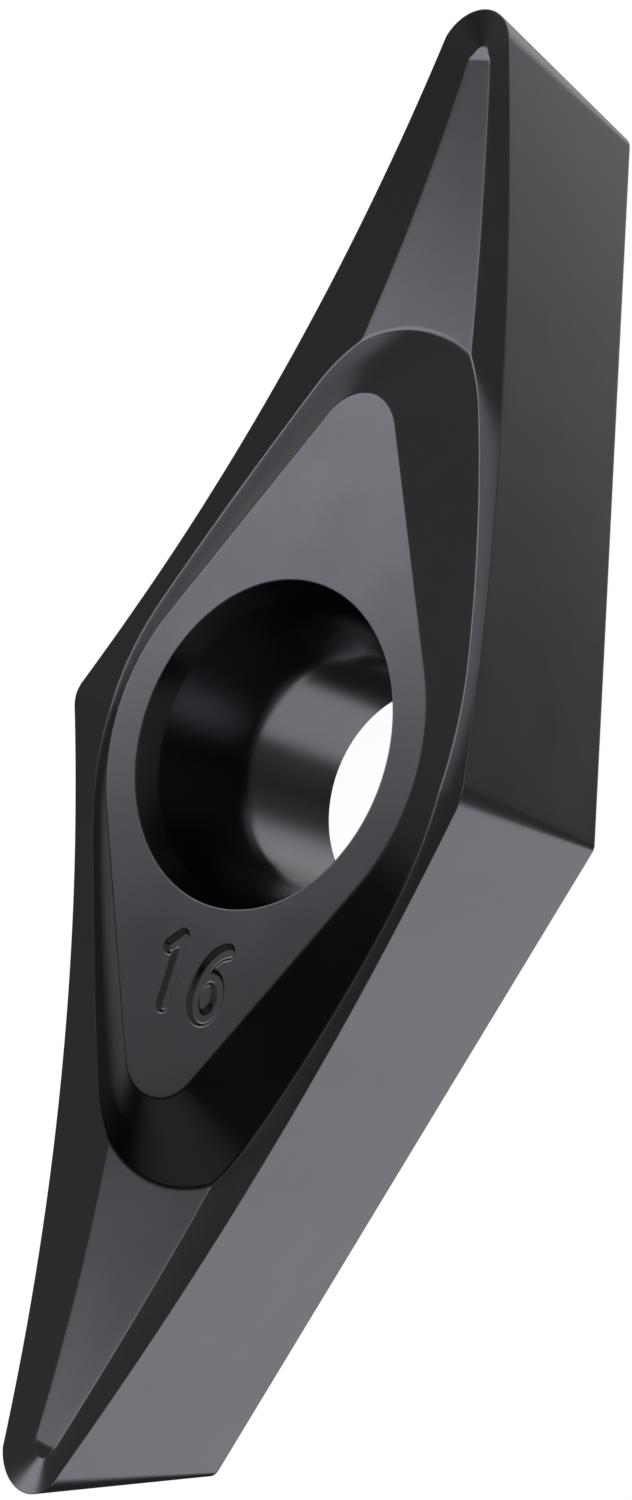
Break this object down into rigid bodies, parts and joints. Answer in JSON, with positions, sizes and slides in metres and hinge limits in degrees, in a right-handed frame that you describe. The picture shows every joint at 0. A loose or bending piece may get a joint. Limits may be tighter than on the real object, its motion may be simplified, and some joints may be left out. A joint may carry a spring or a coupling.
{
  "type": "carbide insert",
  "caption": "Long rhombic 35 degree turning insert with relieved flanks, a pressed chip former and a countersunk clamping hole.",
  "frame": {"origin": "centre of the clamping hole in the plane of the seat face", "axes": "+X along the long diagonal to one cutting corner, +Z along the hole out of the rake side"},
  "size_m": [0.028, 0.01, 0.0048],
  "materials": {
    "coating": "satin"
  },
  "bodies": {
    "root": {"insert": "coating"}
  },
  "joints": []
}
